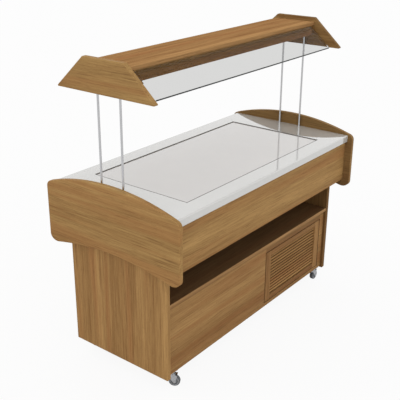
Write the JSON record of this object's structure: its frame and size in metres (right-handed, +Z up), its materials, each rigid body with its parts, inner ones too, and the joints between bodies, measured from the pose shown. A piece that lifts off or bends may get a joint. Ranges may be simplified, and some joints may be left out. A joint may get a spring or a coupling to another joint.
{
  "type": "mobile salad bar",
  "caption": "Wheeled wooden salad bar with a curved-end counter, polished cold plate, louvred machine door and a posted canopy with slanted glass.",
  "frame": {"origin": "on the floor under the middle of the counter", "axes": "+X along the counter, the louvred face looks to -Y, +Z up"},
  "size_m": [1.5, 0.784, 1.493],
  "materials": {
    "teak": "lacquered brown teak-like veneer",
    "counter_top": "polished pale solid surface",
    "cold_plate": "polished pale cooled plate",
    "seal": "dark soft seal",
    "tub_steel": "satin stainless sheet",
    "foam": "rigid insulating foam",
    "copper": "drawn copper tube",
    "post_metal": "bright metal tube",
    "glass": "lightly grey float glass",
    "lamp_body": "white lamp batten",
    "lamp_glass": "opal lamp tube",
    "pin_steel": "bright steel",
    "black_plastic": "black moulding",
    "unit_metal": "black enamel",
    "tray_metal": "galvanised sheet",
    "fins": "bare aluminium fins",
    "control_plastic": "grey control housing",
    "zinc": "bright zinc plate",
    "tyre": "grey rubber tread on a plastic core"
  },
  "bodies": {
    "cabinet": {"cabinet_end_left": "teak", "cabinet_end_right": "teak", "bottom_board": "teak", "front_board": "teak", "back_board": "teak", "partition": "teak", "shelf_board": "teak", "slab_rails": "teak", "end_battens": "teak", "counter_end_left": "teak", "counter_end_right": "teak", "apron_front": "teak", "apron_back": "teak", "counter_slab": "counter_top", "cold_plate": "cold_plate", "plate_seal": "seal", "cold_tub": "tub_steel", "foam_core": "foam", "evaporator_coil": "copper", "refrigerant_lines": "copper", "pipe_duct": "teak", "posts_left": "post_metal", "posts_right": "post_metal", "canopy_end_left": "teak", "canopy_end_right": "teak", "roof_board": "teak", "fascia_front": "teak", "fascia_back": "teak", "post_blocks": "teak", "glass_front": "glass", "glass_back": "glass", "glass_rails": "teak", "lamp_batten": "lamp_body", "lamp_tube": "lamp_glass", "magnet_catch": "black_plastic", "unit_tray": "tray_metal", "compressor": "unit_metal", "condenser": "fins", "fan_shroud": "black_plastic", "fan_motor": "unit_metal", "control_box": "control_plastic", "cable_gland": "black_plastic", "caster_plates": "zinc", "caster_screws": "pin_steel"},
    "louvred_door": {"door_stiles": "teak", "door_rails": "teak", "door_slats": "teak", "door_pins": "pin_steel", "catch_plate": "pin_steel"},
    "fan": {"fan_rotor": "black_plastic"},
    "knob": {"thermostat_knob": "black_plastic"},
    "swivel_front_left": {"caster_fork_front_left": "zinc"},
    "wheel_front_left": {"caster_wheel_front_left": "tyre"},
    "swivel_front_right": {"caster_fork_front_right": "zinc"},
    "wheel_front_right": {"caster_wheel_front_right": "tyre"},
    "swivel_back_left": {"caster_fork_back_left": "zinc"},
    "wheel_back_left": {"caster_wheel_back_left": "tyre"},
    "swivel_back_right": {"caster_fork_back_right": "zinc"},
    "wheel_back_right": {"caster_wheel_back_right": "tyre"}
  },
  "joints": [
    {"name": "door_hinge", "type": "hinge", "parent": "cabinet", "child": "louvred_door", "pos_m": [0.634, -0.265, 0.2465], "axis": [0, 0, 1], "range_deg": [0, 100]},
    {"name": "fan_spin", "type": "hinge", "parent": "cabinet", "child": "fan", "pos_m": [0.3835, -0.155, 0.229], "axis": [0, -1, 0], "continuous": true},
    {"name": "thermostat_turn", "type": "hinge", "parent": "cabinet", "child": "knob", "pos_m": [0.108, -0.234, 0.373], "axis": [0, -1, 0], "range_deg": [0, 270]},
    {"name": "swivel_front_left", "type": "hinge", "parent": "cabinet", "child": "swivel_front_left", "pos_m": [-0.645, -0.25, 0.0625], "axis": [0, 0, 1], "continuous": true},
    {"name": "roll_front_left", "type": "hinge", "parent": "swivel_front_left", "child": "wheel_front_left", "pos_m": [-0.636, -0.26559, 0.027], "axis": [0.866, 0.5, 0], "continuous": true},
    {"name": "swivel_front_right", "type": "hinge", "parent": "cabinet", "child": "swivel_front_right", "pos_m": [0.645, -0.25, 0.0625], "axis": [0, 0, 1], "continuous": true},
    {"name": "roll_front_right", "type": "hinge", "parent": "swivel_front_right", "child": "wheel_front_right", "pos_m": [0.663, -0.25, 0.027], "axis": [0, 1, 0], "continuous": true},
    {"name": "swivel_back_left", "type": "hinge", "parent": "cabinet", "child": "swivel_back_left", "pos_m": [-0.645, 0.25, 0.0625], "axis": [0, 0, 1], "continuous": true},
    {"name": "roll_back_left", "type": "hinge", "parent": "swivel_back_left", "child": "wheel_back_left", "pos_m": [-0.627, 0.25, 0.027], "axis": [0, 1, 0], "continuous": true},
    {"name": "swivel_back_right", "type": "hinge", "parent": "cabinet", "child": "swivel_back_right", "pos_m": [0.645, 0.25, 0.0625], "axis": [0, 0, 1], "continuous": true},
    {"name": "roll_back_right", "type": "hinge", "parent": "swivel_back_right", "child": "wheel_back_right", "pos_m": [0.66059, 0.259, 0.027], "axis": [-0.5, 0.866, 0], "continuous": true}
  ]
}
